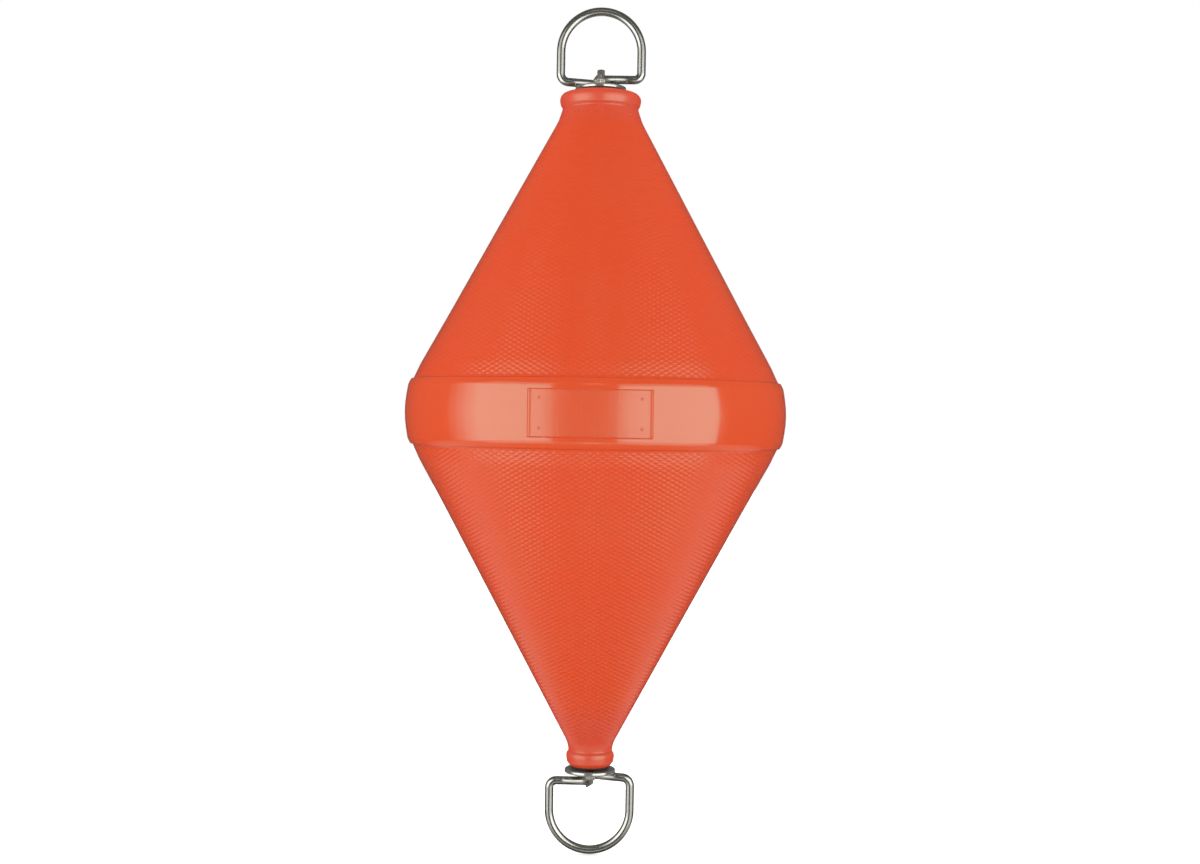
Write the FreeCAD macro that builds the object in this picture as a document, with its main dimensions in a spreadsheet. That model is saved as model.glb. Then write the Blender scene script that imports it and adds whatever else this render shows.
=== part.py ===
"""Biconical mooring buoy: a blow-moulded float on a through rod, with a steel D ring welded on each end.

The frame has +Z up along the rod, with its origin at the middle of the belt, and the rings lie in the
XZ plane. The float is one hollow moulding with a tube through its middle, and a rubber seal sits on each
of its two collars. The rod turns in that tube, together with both rings, both washers and both welds.
"""
import FreeCAD, Part
import math
import os
import Sketcher

Vector = FreeCAD.Vector

doc = FreeCAD.newDocument("mooring_buoy")

# ---------------------------------------------------------------- driving dimensions, in millimetres
SIZES = [
    # the float
    ("belt_dia", 400.0, "belt at its fullest, half way up"),
    ("belt_high", 68.4, "belt from edge to edge"),
    ("belt_crown", 3.7, "how much the belt's face falls back to each edge"),
    ("crown_round", 140.0, "radius of that crowned face"),
    ("belt_round", 4.5, "rounding of the belt's two edges"),
    ("belt_ledge", 4.54, "belt's edge, before it is rounded, to the foot of each cone"),
    ("brow_in", 6.7, "that foot to where the cone begins to round over to it, inwards"),
    ("brow_up", 15.1, "the same, along the axis"),
    ("brow_round", 60.0, "rounding there"),
    ("knee_in", 28.1, "from there to where the cone grows a little steeper, inwards"),
    ("knee_up", 50.7, "the same, along the axis"),
    ("knee_round", 600.0, "rounding there"),
    ("up_face", 338.4, "mid-belt to the upper collar's face"),
    ("up_face_dia", 41.6, "flat of the upper collar's face"),
    ("up_bead_dia", 85.0, "upper collar at its fullest"),
    ("up_bead_fall", 1.8, "how far the collar's top falls to its rim"),
    ("up_bead_high", 8.8, "upright rim of the upper collar"),
    ("up_bead_round", 6.5, "rounding of the upper collar's rim"),
    ("up_neck_dia", 79.4, "upper neck, just below the collar"),
    ("up_neck_drop", 17.3, "upper collar's face to the neck"),
    ("up_flare_dia", 88.8, "upper neck where it has flared out to the cone"),
    ("up_flare_drop", 32.2, "upper collar's face to that place"),
    ("up_flare_round", 40.0, "rounding there"),
    ("low_face", 370.8, "mid-belt to the lower collar's face"),
    ("low_face_dia", 42.4, "flat of the lower collar's face"),
    ("low_bead_dia", 50.2, "lower collar at its fullest"),
    ("low_bead_fall", 4.7, "how far the collar's end rises to its rim"),
    ("low_bead_high", 5.2, "upright rim of the lower collar"),
    ("low_bead_round", 3.0, "rounding of the lower collar's rim"),
    ("low_neck_dia", 45.4, "lower neck, just above the collar"),
    ("low_neck_drop", 16.3, "lower collar's face to the neck"),
    ("low_flare_dia", 48.4, "lower neck where it has flared out to the cone"),
    ("low_flare_drop", 24.6, "lower collar's face to that place"),
    ("low_flare_round", 24.0, "rounding there"),
    ("neck_round", 0.9, "hollow where a neck meets its collar"),
    ("wall", 3.5, "thickness of the moulding"),
    ("panel_wide", 116.0, "recessed panel across the front of the belt"),
    ("panel_high", 47.6, "recessed panel from its lower to its upper edge"),
    ("panel_deep", 1.0, "depth of that recess at its edges"),
    # the rod, and what runs on it
    ("rod_dia", 8.0, "through rod"),
    ("rod_chamfer", 0.7, "chamfer of the rod's upper end"),
    ("rod_slant", 4.6, "how far the slanting cut climbs across the rod's lower end"),
    ("up_rod_show", 5.6, "rod standing past the upper ring's outer leg"),
    ("low_rod_show", 2.3, "rod standing past the lower ring's outer leg"),
    ("bore_gap", 0.4, "clearance around the rod in the float's tube"),
    ("seal_dia", 40.0, "rubber seal"),
    ("seal_thick", 1.2, "thickness of a seal"),
    ("turn_gap", 0.3, "clearance between the upper seal and its washer"),
    ("end_play", 1.6, "clearance between the lower seal and its washer"),
    ("washer_dia", 53.4, "steel washer"),
    ("washer_thick", 4.4, "thickness of a washer"),
    ("washer_chamfer", 1.2, "chamfer along both edges of a washer's rim"),
    ("washer_gap", 0.2, "clearance around the rod in a washer"),
    # the D rings and their welds
    ("bar_dia", 9.0, "round bar that the rings are bent from"),
    ("ring_wide", 94.0, "ring across its two sides, outside"),
    ("outer_bend_round", 7.4, "centreline radius of the bend into a ring's outer leg"),
    ("inner_bend_round", 8.8, "centreline radius of the bend into its inner leg"),
    ("up_crown", 37.1, "upper washer's face to the centre of its ring's crown"),
    ("low_crown", 39.3, "lower washer's face to the centre of its ring's crown"),
    ("up_outer_leg", 7.9, "upper washer's face to the middle of its ring's outer leg"),
    ("low_outer_leg", 9.4, "lower washer's face to the middle of its ring's outer leg"),
    ("inner_leg_end", 2.4, "washer's face to the middle of the inner leg, at the rod"),
    ("inner_leg_side", 5.7, "the same, at the side of the ring"),
    ("leg_gap", 0.5, "end of each leg from the rod's axis"),
    ("up_weld_foot", 4.4, "how far the upper weld reaches out from the rod"),
    ("up_weld_high", 5.8, "how far it climbs the rod past the inner leg"),
    ("low_weld_foot", 2.6, "how far the lower weld reaches out from the rod"),
    ("low_weld_high", 1.4, "how far it runs down the rod past the inner leg"),
    ("weld_lip", 0.4, "thickness of a weld where it ends on the rod"),
]

# Levels and radii that follow from them, each worked out once. Upper levels are positive, lower negative.
LEVELS = [
    ("belt_r", "sizes.belt_dia / 2"),
    ("belt_top_z", "sizes.belt_high / 2"),
    ("belt_foot_z", "-sizes.belt_high / 2"),
    ("belt_lean", "2 * sizes.belt_crown / levels.belt_top_z"),
    ("belt_apex_r", "levels.belt_r + sizes.crown_round * (sqrt(1 + levels.belt_lean ^ 2) - 1)"),
    ("belt_edge_r", "levels.belt_apex_r - 2 * sizes.belt_crown"),
    ("foot_r", "levels.belt_edge_r - sizes.belt_ledge"),
    ("brow_r", "levels.foot_r - sizes.brow_in"),
    ("up_brow_z", "levels.belt_top_z + sizes.brow_up"),
    ("low_brow_z", "-levels.up_brow_z"),
    ("knee_r", "levels.brow_r - sizes.knee_in"),
    ("up_knee_z", "levels.up_brow_z + sizes.knee_up"),
    ("low_knee_z", "-levels.up_knee_z"),
    ("up_face_z", "sizes.up_face"),
    ("up_face_r", "sizes.up_face_dia / 2"),
    ("up_bead_r", "sizes.up_bead_dia / 2"),
    ("up_rim_z", "levels.up_face_z - sizes.up_bead_fall"),
    ("up_bead_z", "levels.up_rim_z - sizes.up_bead_high"),
    ("up_neck_r", "sizes.up_neck_dia / 2"),
    ("up_neck_z", "levels.up_face_z - sizes.up_neck_drop"),
    ("up_flare_r", "sizes.up_flare_dia / 2"),
    ("up_flare_z", "levels.up_face_z - sizes.up_flare_drop"),
    ("low_face_z", "-sizes.low_face"),
    ("low_face_r", "sizes.low_face_dia / 2"),
    ("low_bead_r", "sizes.low_bead_dia / 2"),
    ("low_rim_z", "levels.low_face_z + sizes.low_bead_fall"),
    ("low_bead_z", "levels.low_rim_z + sizes.low_bead_high"),
    ("low_neck_r", "sizes.low_neck_dia / 2"),
    ("low_neck_z", "levels.low_face_z + sizes.low_neck_drop"),
    ("low_flare_r", "sizes.low_flare_dia / 2"),
    ("low_flare_z", "levels.low_face_z + sizes.low_flare_drop"),
    # the space inside the moulding
    ("bore_r", "sizes.rod_dia / 2 + sizes.bore_gap"),
    ("tube_r", "levels.bore_r + sizes.wall"),
    ("cone_run", "levels.knee_r - levels.up_flare_r"),
    ("cone_rise", "levels.up_flare_z - levels.up_knee_z"),
    ("side_wall", "sizes.wall * sqrt(levels.cone_run ^ 2 + levels.cone_rise ^ 2) / levels.cone_rise"),
    ("up_room_z", "levels.up_neck_z - sizes.wall"),
    ("up_room_r", "levels.up_neck_r - levels.side_wall"),
    ("up_room_flare_r", "levels.up_flare_r - levels.side_wall"),
    ("knee_room_r", "levels.knee_r - levels.side_wall"),
    ("foot_room_r", "levels.foot_r - levels.side_wall"),
    ("belt_room_r", "levels.belt_edge_r - sizes.wall - sizes.panel_deep"),
    ("up_belt_room_z", "levels.belt_top_z - sizes.wall"),
    ("low_belt_room_z", "levels.belt_foot_z + sizes.wall"),
    ("low_room_z", "levels.low_flare_z + sizes.wall"),
    ("crown_y", "sizes.crown_round - levels.belt_r"),
    ("panel_floor_round", "sizes.crown_round - sizes.panel_deep"),
    ("panel_top_z", "sizes.panel_high / 2"),
    ("panel_foot_z", "-sizes.panel_high / 2"),
    ("panel_out_y", "-levels.belt_apex_r"),
    ("low_room_r", "levels.low_flare_r - levels.side_wall"),
    # the rod, and what runs on it
    ("rod_r", "sizes.rod_dia / 2"),
    ("rod_tip_r", "levels.rod_r - sizes.rod_chamfer"),
    ("up_seal_z", "levels.up_face_z + sizes.seal_thick"),
    ("up_washer_z", "levels.up_seal_z + sizes.turn_gap"),
    ("up_seat_z", "levels.up_washer_z + sizes.washer_thick"),
    ("low_seal_z", "levels.low_face_z - sizes.seal_thick"),
    ("low_washer_z", "levels.low_seal_z - sizes.end_play"),
    ("low_seat_z", "levels.low_washer_z - sizes.washer_thick"),
    ("seal_r", "sizes.seal_dia / 2"),
    ("seal_hole_r", "levels.bore_r"),
    ("washer_r", "sizes.washer_dia / 2"),
    ("washer_hole_r", "levels.rod_r + sizes.washer_gap"),
    # the D rings and their welds
    ("bar_r", "sizes.bar_dia / 2"),
    ("side_x", "(sizes.ring_wide - sizes.bar_dia) / 2"),
    ("weld_lip_r", "levels.rod_r + sizes.weld_lip"),
    ("up_weld_r", "levels.rod_r + sizes.up_weld_foot"),
    ("low_weld_r", "levels.rod_r + sizes.low_weld_foot"),
    ("up_outer_z", "levels.up_seat_z + sizes.up_outer_leg"),
    ("up_inner_end_z", "levels.up_seat_z + sizes.inner_leg_end"),
    ("up_inner_side_z", "levels.up_seat_z + sizes.inner_leg_side"),
    ("up_crown_z", "levels.up_seat_z + sizes.up_crown"),
    ("up_weld_z", "levels.up_inner_end_z + levels.bar_r"),
    ("up_weld_top_z", "levels.up_weld_z + sizes.up_weld_high"),
    ("up_tip_z", "levels.up_outer_z + levels.bar_r + sizes.up_rod_show"),
    ("up_chamfer_z", "levels.up_tip_z - sizes.rod_chamfer"),
    ("low_outer_z", "levels.low_seat_z - sizes.low_outer_leg"),
    ("low_inner_end_z", "levels.low_seat_z - sizes.inner_leg_end"),
    ("low_inner_side_z", "levels.low_seat_z - sizes.inner_leg_side"),
    ("low_crown_z", "levels.low_seat_z - sizes.low_crown"),
    ("low_weld_z", "levels.low_inner_end_z - levels.bar_r"),
    ("low_weld_top_z", "levels.low_weld_z - sizes.low_weld_high"),
    ("low_tip_z", "levels.low_outer_z - levels.bar_r - sizes.low_rod_show"),
    ("low_slant_z", "levels.low_tip_z + sizes.rod_slant"),
]

sizes = doc.addObject("Spreadsheet::Sheet", "sizes")
for row, (alias, value, meaning) in enumerate(SIZES, start=1):
    sizes.set(f"A{row}", alias)
    sizes.set(f"B{row}", str(value))
    sizes.setAlias(f"B{row}", alias)
    sizes.set(f"C{row}", meaning)
doc.recompute()

levels = doc.addObject("App::VarSet", "levels")
for name, expression in LEVELS:
    levels.addProperty("App::PropertyFloat", name, "Levels")
    levels.setExpression(name, expression.replace("levels.", ""))
doc.recompute()


def number(name):
    """The present value of 'sizes.alias' or 'levels.name', or of either with a minus sign in front."""
    owner, alias = name.lstrip("-").split(".")
    value = float(getattr(doc.getObject(owner), alias))
    return -value if name.startswith("-") else value


# ---------------------------------------------------------------- sketches
def plane_of(body, role):
    return next(f for f in body.Origin.OriginFeatures if f.Role == role)


def new_sketch(body, name, role):
    sketch = body.newObject("Sketcher::SketchObject", name)
    sketch.AttachmentSupport = (plane_of(body, role), [""])
    sketch.MapMode = "FlatFace"
    return sketch


def bind(sketch, kind, *places, to):
    """Adds a constraint whose value follows a named size."""
    index = sketch.addConstraint(Sketcher.Constraint(kind, *places, number(to)))
    sketch.setExpression(f"Constraints[{index}]", to)


def place(sketch, element, end, across, up):
    """Pins one point of a sketch to a named distance across and a named height; 'axis' is zero."""
    if across == "axis":
        sketch.addConstraint(Sketcher.Constraint("PointOnObject", element, end, -2))
    else:
        bind(sketch, "DistanceX", -1, 1, element, end, to=across)
    if up == "axis":
        sketch.addConstraint(Sketcher.Constraint("PointOnObject", element, end, -1))
    else:
        bind(sketch, "DistanceY", -1, 1, element, end, to=up)


def corner_at(across, up):
    return Vector(*(0.0 if name == "axis" else number(name) for name in (across, up)), 0)


def rounding(before, corner, after, radius):
    """The two tangent points and the centre of an arc that rounds a corner."""
    to_before = (before - corner).normalize()
    to_after = (after - corner).normalize()
    half = to_before.getAngle(to_after) / 2
    reach = radius / math.tan(half)
    middle = (to_before + to_after).normalize()
    return corner + to_before * reach, corner + to_after * reach, corner + middle * (radius / math.sin(half))


def outline(sketch, corners):
    """A closed outline. Each corner is (across, up, radius), all of them names; radius None is sharp."""
    count = len(corners)
    points = [corner_at(across, up) for across, up, radius in corners]
    leave = list(points)
    arrive = list(points)
    centres = [None] * count
    for i, (across, up, radius) in enumerate(corners):
        if radius:
            arrive[i], leave[i], centres[i] = rounding(
                points[i - 1], points[i], points[(i + 1) % count], number(radius))

    marks = []
    for i, (across, up, radius) in enumerate(corners):
        marks.append(sketch.addGeometry(Part.Point(points[i]), True))
        place(sketch, marks[i], 1, across, up)

    lines = []
    for i in range(count):
        following = (i + 1) % count
        line = sketch.addGeometry(Part.LineSegment(leave[i], arrive[following]))
        lines.append(line)
        for end, corner in ((1, i), (2, following)):
            if corners[corner][2]:
                sketch.addConstraint(Sketcher.Constraint("PointOnObject", marks[corner], 1, line))
            else:
                sketch.addConstraint(Sketcher.Constraint("Coincident", line, end, marks[corner], 1))

    for i, (across, up, radius) in enumerate(corners):
        if not radius:
            continue
        spoke_in = arrive[i] - centres[i]
        spoke_out = leave[i] - centres[i]
        turns_left = spoke_in.cross(spoke_out).z > 0
        first, last = (spoke_in, spoke_out) if turns_left else (spoke_out, spoke_in)
        circle = Part.Circle(centres[i], Vector(0, 0, 1), number(radius))
        arc = sketch.addGeometry(Part.ArcOfCircle(
            circle, math.atan2(first.y, first.x), math.atan2(last.y, last.x)))
        start, finish = (1, 2) if turns_left else (2, 1)
        sketch.addConstraint(Sketcher.Constraint("Tangent", lines[i - 1], 2, arc, start))
        sketch.addConstraint(Sketcher.Constraint("Tangent", arc, finish, lines[i], 1))
        bind(sketch, "Radius", arc, to=radius)


# ---------------------------------------------------------------- turned pieces
def turned(name, *outlines):
    """A body of revolution about the rod's axis, from outlines in the XZ plane."""
    body = doc.addObject("PartDesign::Body", name)
    sketch = new_sketch(body, f"{name}_section", "XZ_Plane")
    for corners in outlines:
        outline(sketch, corners)
    turn = body.newObject("PartDesign::Revolution", f"{name}_turn")
    turn.Profile = sketch
    turn.ReferenceAxis = (sketch, ["V_Axis"])
    turn.Angle = 360
    doc.recompute()
    return body


def make_float():
    """The moulding: collar, neck and cone at each end of a crowned belt, with a tube for the rod."""
    skin = [
        ("levels.bore_r", "levels.up_face_z", None),
        ("levels.up_face_r", "levels.up_face_z", "sizes.up_bead_round"),
        ("levels.up_bead_r", "levels.up_rim_z", "sizes.up_bead_round"),
        ("levels.up_bead_r", "levels.up_bead_z", "sizes.up_bead_round"),
        ("levels.up_neck_r", "levels.up_neck_z", "sizes.neck_round"),
        ("levels.up_flare_r", "levels.up_flare_z", "sizes.up_flare_round"),
        ("levels.knee_r", "levels.up_knee_z", "sizes.knee_round"),
        ("levels.brow_r", "levels.up_brow_z", "sizes.brow_round"),
        ("levels.foot_r", "levels.belt_top_z", None),
        ("levels.belt_edge_r", "levels.belt_top_z", "sizes.belt_round"),
        ("levels.belt_apex_r", "axis", "sizes.crown_round"),
        ("levels.belt_edge_r", "levels.belt_foot_z", "sizes.belt_round"),
        ("levels.foot_r", "levels.belt_foot_z", None),
        ("levels.brow_r", "levels.low_brow_z", "sizes.brow_round"),
        ("levels.knee_r", "levels.low_knee_z", "sizes.knee_round"),
        ("levels.low_flare_r", "levels.low_flare_z", "sizes.low_flare_round"),
        ("levels.low_neck_r", "levels.low_neck_z", "sizes.neck_round"),
        ("levels.low_bead_r", "levels.low_bead_z", "sizes.low_bead_round"),
        ("levels.low_bead_r", "levels.low_rim_z", "sizes.low_bead_round"),
        ("levels.low_face_r", "levels.low_face_z", "sizes.low_bead_round"),
        ("levels.bore_r", "levels.low_face_z", None),
    ]
    room = [
        ("levels.tube_r", "levels.up_room_z", None),
        ("levels.up_room_r", "levels.up_room_z", None),
        ("levels.up_room_flare_r", "levels.up_flare_z", None),
        ("levels.knee_room_r", "levels.up_knee_z", None),
        ("levels.foot_room_r", "levels.up_belt_room_z", None),
        ("levels.belt_room_r", "levels.up_belt_room_z", None),
        ("levels.belt_room_r", "levels.low_belt_room_z", None),
        ("levels.foot_room_r", "levels.low_belt_room_z", None),
        ("levels.knee_room_r", "levels.low_knee_z", None),
        ("levels.low_room_r", "levels.low_room_z", None),
        ("levels.tube_r", "levels.low_room_z", None),
    ]
    return turned("float_shell", skin, room)


def recess_panel(body):
    """The plain recessed panel on the belt's front: part of a turned cut that follows the crowned face."""
    sketch = new_sketch(body, "panel_section", "YZ_Plane")
    centre = Vector(number("levels.crown_y"), 0, 0)
    radius = number("levels.panel_floor_round")
    high = number("levels.panel_top_z")
    out = number("levels.panel_out_y")
    lean = math.asin(high / radius)
    edge_y = centre.x - radius * math.cos(lean)
    circle = Part.Circle(centre, Vector(0, 0, 1), radius)
    floor = sketch.addGeometry(Part.ArcOfCircle(circle, math.pi - lean, math.pi + lean))
    top = sketch.addGeometry(Part.LineSegment(Vector(edge_y, high, 0), Vector(out, high, 0)))
    outside = sketch.addGeometry(Part.LineSegment(Vector(out, high, 0), Vector(out, -high, 0)))
    foot = sketch.addGeometry(Part.LineSegment(Vector(out, -high, 0), Vector(edge_y, -high, 0)))
    place(sketch, floor, 3, "levels.crown_y", "axis")
    bind(sketch, "Radius", floor, to="levels.panel_floor_round")
    sketch.addConstraint(Sketcher.Constraint("Coincident", floor, 1, top, 1))
    sketch.addConstraint(Sketcher.Constraint("Coincident", floor, 2, foot, 2))
    sketch.addConstraint(Sketcher.Constraint("Coincident", top, 2, outside, 1))
    sketch.addConstraint(Sketcher.Constraint("Coincident", outside, 2, foot, 1))
    sketch.addConstraint(Sketcher.Constraint("Horizontal", top))
    sketch.addConstraint(Sketcher.Constraint("Horizontal", foot))
    place(sketch, outside, 1, "levels.panel_out_y", "levels.panel_top_z")
    place(sketch, outside, 2, "levels.panel_out_y", "levels.panel_foot_z")
    before = body.Shape.Volume
    cut = body.newObject("PartDesign::Groove", "panel_recess")
    cut.Profile = sketch
    cut.ReferenceAxis = (sketch, ["V_Axis"])
    cut.Midplane = True
    cut.setExpression("Angle", "2 * asin(sizes.panel_wide / sizes.belt_dia)")
    doc.recompute()
    if body.Shape.Volume >= before:
        raise RuntimeError("the panel's recess cut nothing")


def make_rod():
    """The bar through the float: chamfered above, and cropped at a slant below."""
    body = turned("through_rod", [
        ("axis", "levels.up_tip_z", None),
        ("levels.rod_tip_r", "levels.up_tip_z", None),
        ("levels.rod_r", "levels.up_chamfer_z", None),
        ("levels.rod_r", "levels.low_tip_z", None),
        ("axis", "levels.low_tip_z", None),
    ])
    sketch = new_sketch(body, "rod_slant_section", "XZ_Plane")
    outline(sketch, [
        ("-levels.rod_r", "levels.low_tip_z", None),
        ("levels.rod_r", "levels.low_tip_z", None),
        ("levels.rod_r", "levels.low_slant_z", None),
    ])
    before = body.Shape.Volume
    cut = body.newObject("PartDesign::Pocket", "rod_slant_cut")
    cut.Profile = sketch
    cut.Midplane = True
    cut.setExpression("Length", "2 * sizes.rod_dia")
    doc.recompute()
    if body.Shape.Volume >= before:
        raise RuntimeError("the slant across the rod cut nothing")
    return body


def make_seal(name, low, high):
    """A flat rubber ring with square edges, as large inside as the float's tube."""
    return turned(name, [
        ("levels.seal_hole_r", low, None),
        ("levels.seal_r", low, None),
        ("levels.seal_r", high, None),
        ("levels.seal_hole_r", high, None),
    ])


def make_washer(name, low, high):
    """A flat steel washer, both edges of its rim chamfered."""
    body = turned(name, [
        ("levels.washer_hole_r", low, None),
        ("levels.washer_r", low, None),
        ("levels.washer_r", high, None),
        ("levels.washer_hole_r", high, None),
    ])
    rim = [
        f"Edge{index}" for index, edge in enumerate(body.Shape.Edges, start=1)
        if isinstance(edge.Curve, Part.Circle) and math.isclose(edge.Curve.Radius, number("levels.washer_r"))
    ]
    chamfer = body.newObject("PartDesign::Chamfer", f"{name}_rim")
    chamfer.Base = (body.getObject(f"{name}_turn"), rim)
    chamfer.setExpression("Size", "sizes.washer_chamfer")
    doc.recompute()
    return body


# ---------------------------------------------------------------- rings and welds
def ring_path(body, end, side):
    """One bar bent into a D: outer leg, side, crown, side and inner leg, in the XZ plane."""
    sketch = new_sketch(body, f"{end}_ring_path", "XZ_Plane")
    outer, inner = ("", "-") if side > 0 else ("-", "")
    legs = [
        (f"{outer}levels.side_x", f"levels.{end}_outer_z", f"{outer}sizes.leg_gap", f"levels.{end}_outer_z"),
        (f"{inner}levels.side_x", f"levels.{end}_inner_side_z", f"{inner}sizes.leg_gap",
         f"levels.{end}_inner_end_z"),
    ]
    bends = ["sizes.outer_bend_round", "sizes.inner_bend_round"]
    crown_z = number(f"levels.{end}_crown_z")
    uprights = []
    for (side_x, corner_z, end_x, end_z), bend_round in zip(legs, bends):
        bend = number(bend_round)
        corner = corner_at(side_x, corner_z)
        tip = corner_at(end_x, end_z)
        shoulder = Vector(corner.x, crown_z, 0)
        on_leg, on_side, centre = rounding(tip, corner, shoulder, bend)
        mark = sketch.addGeometry(Part.Point(corner), True)
        leg = sketch.addGeometry(Part.LineSegment(tip, on_leg))
        upright = sketch.addGeometry(Part.LineSegment(on_side, shoulder))
        spoke_in = on_leg - centre
        spoke_out = on_side - centre
        turns_left = spoke_in.cross(spoke_out).z > 0
        first, last = (spoke_in, spoke_out) if turns_left else (spoke_out, spoke_in)
        circle = Part.Circle(centre, Vector(0, 0, 1), bend)
        arc = sketch.addGeometry(Part.ArcOfCircle(
            circle, math.atan2(first.y, first.x), math.atan2(last.y, last.x)))
        start, finish = (1, 2) if turns_left else (2, 1)
        place(sketch, mark, 1, side_x, corner_z)
        place(sketch, leg, 1, end_x, end_z)
        sketch.addConstraint(Sketcher.Constraint("PointOnObject", mark, 1, leg))
        sketch.addConstraint(Sketcher.Constraint("PointOnObject", mark, 1, upright))
        sketch.addConstraint(Sketcher.Constraint("Vertical", upright))
        sketch.addConstraint(Sketcher.Constraint("Tangent", leg, 2, arc, start))
        sketch.addConstraint(Sketcher.Constraint("Tangent", arc, finish, upright, 1))
        bind(sketch, "Radius", arc, to=bend_round)
        uprights.append(upright)

    circle = Part.Circle(Vector(0, crown_z, 0), Vector(0, 0, 1), number("levels.side_x"))
    over = end == "up"
    crown = sketch.addGeometry(Part.ArcOfCircle(circle, 0, math.pi) if over
                               else Part.ArcOfCircle(circle, math.pi, 2 * math.pi))
    bind(sketch, "DistanceY", -1, 1, crown, 3, to=f"levels.{end}_crown_z")
    first_upright, last_upright = uprights
    sketch.addConstraint(Sketcher.Constraint("Tangent", first_upright, 2, crown, 1))
    sketch.addConstraint(Sketcher.Constraint("Tangent", crown, 2, last_upright, 2))
    return sketch


def make_ring(name, end, side):
    """A D ring. Its legs end on the rod, one from each side, and it is dressed flat where it meets the washer."""
    body = doc.addObject("PartDesign::Body", name)
    path = ring_path(body, end, side)
    section = new_sketch(body, f"{end}_ring_section", "YZ_Plane")
    section.setExpression("AttachmentOffset.Base.z", "sizes.leg_gap" if side > 0 else "-sizes.leg_gap")
    circle = Part.Circle(Vector(0, number(f"levels.{end}_outer_z"), 0), Vector(0, 0, 1), number("levels.bar_r"))
    bar = section.addGeometry(circle)
    place(section, bar, 3, "axis", f"levels.{end}_outer_z")
    bind(section, "Radius", bar, to="levels.bar_r")
    doc.recompute()
    sweep = body.newObject("PartDesign::AdditivePipe", f"{end}_ring_bar")
    sweep.Profile = section
    sweep.Spine = (path, [])
    doc.recompute()

    cope = body.newObject("PartDesign::SubtractiveCylinder", f"{end}_ring_cope")
    cope.setExpression("Radius", "levels.rod_r")
    cope.setExpression("Height", f"abs(levels.{end}_tip_z) * 2")
    cope.setExpression("Placement.Base.z", f"-abs(levels.{end}_tip_z)")

    seat = body.newObject("PartDesign::SubtractiveCylinder", f"{end}_ring_seat")
    seat.setExpression("Radius", "levels.washer_r")
    seat.setExpression("Height", "sizes.washer_thick")
    seat.setExpression("Placement.Base.z", f"min(levels.{end}_seat_z; levels.{end}_washer_z)")
    doc.recompute()
    return body


def make_weld(name, end, ring):
    """Weld metal around the rod, from the washer past the inner leg, wherever the ring's legs aren't."""
    blank = turned(f"{end}_weld_blank", [
        ("levels.rod_r", f"levels.{end}_seat_z", None),
        (f"levels.{end}_weld_r", f"levels.{end}_seat_z", None),
        (f"levels.{end}_weld_r", f"levels.{end}_weld_z", None),
        ("levels.weld_lip_r", f"levels.{end}_weld_top_z", None),
        ("levels.rod_r", f"levels.{end}_weld_top_z", None),
    ])
    weld = doc.addObject("Part::Cut", name)
    weld.Base = blank
    weld.Tool = ring
    doc.recompute()
    return weld


# ---------------------------------------------------------------- the whole buoy
float_shell = make_float()
recess_panel(float_shell)
upper_ring = make_ring("upper_ring", "up", 1)
lower_ring = make_ring("lower_ring", "low", -1)

PIECES = [
    float_shell,
    make_seal("upper_seal", "levels.up_face_z", "levels.up_seal_z"),
    make_seal("lower_seal", "levels.low_seal_z", "levels.low_face_z"),
    make_rod(),
    make_washer("upper_washer", "levels.up_washer_z", "levels.up_seat_z"),
    make_washer("lower_washer", "levels.low_seat_z", "levels.low_washer_z"),
    upper_ring,
    lower_ring,
    make_weld("upper_weld", "up", upper_ring),
    make_weld("lower_weld", "low", lower_ring),
]

doc.recompute()
for item in doc.Objects:
    if "Invalid" in item.State or "Error" in item.State:
        raise RuntimeError(f"{item.Name} failed: {item.State}")
for piece in PIECES:
    if piece.Shape.isNull() or not piece.Shape.isValid() or len(piece.Shape.Solids) != 1:
        raise RuntimeError(f"{piece.Name} is not one sound solid")

os.makedirs("parts", exist_ok=True)
for piece in PIECES:
    piece.Label = piece.Name
    piece.Shape.exportStep(f"parts/{piece.Name}.step")
    print(f"{piece.Name:14s} {piece.Shape.Volume / 1000:9.2f} cm3")
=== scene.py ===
"""Looks of the mooring buoy: an orange moulded float on a steel rod, with a D ring welded on each end.

Metres, +Z up along the rod, origin at the middle of the belt. The front, with the belt's panel, faces -Y.
"""
import math

import bmesh
import bpy
from mathutils import Matrix, Vector, noise


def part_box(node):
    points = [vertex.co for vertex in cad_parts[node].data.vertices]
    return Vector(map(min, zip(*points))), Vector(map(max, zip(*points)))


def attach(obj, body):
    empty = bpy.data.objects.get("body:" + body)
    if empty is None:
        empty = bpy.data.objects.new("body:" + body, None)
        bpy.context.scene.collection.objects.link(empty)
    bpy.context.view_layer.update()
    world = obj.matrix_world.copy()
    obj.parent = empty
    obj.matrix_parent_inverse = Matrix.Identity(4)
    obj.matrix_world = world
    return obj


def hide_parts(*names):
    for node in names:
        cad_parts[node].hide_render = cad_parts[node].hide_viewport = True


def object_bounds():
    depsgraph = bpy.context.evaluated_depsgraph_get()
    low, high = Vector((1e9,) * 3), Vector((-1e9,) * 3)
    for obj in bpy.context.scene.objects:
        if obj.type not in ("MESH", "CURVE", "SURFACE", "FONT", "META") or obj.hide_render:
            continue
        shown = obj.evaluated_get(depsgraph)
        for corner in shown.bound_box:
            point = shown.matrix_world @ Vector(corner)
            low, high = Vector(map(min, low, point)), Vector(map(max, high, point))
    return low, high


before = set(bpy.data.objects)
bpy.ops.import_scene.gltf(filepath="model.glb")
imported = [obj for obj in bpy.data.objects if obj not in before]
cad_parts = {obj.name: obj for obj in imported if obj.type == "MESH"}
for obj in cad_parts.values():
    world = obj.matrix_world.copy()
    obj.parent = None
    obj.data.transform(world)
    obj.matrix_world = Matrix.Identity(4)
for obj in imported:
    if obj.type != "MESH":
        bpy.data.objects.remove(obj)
cad_low, cad_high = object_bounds()
scene = bpy.context.scene
scene.view_settings.view_transform = "Standard"


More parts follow.
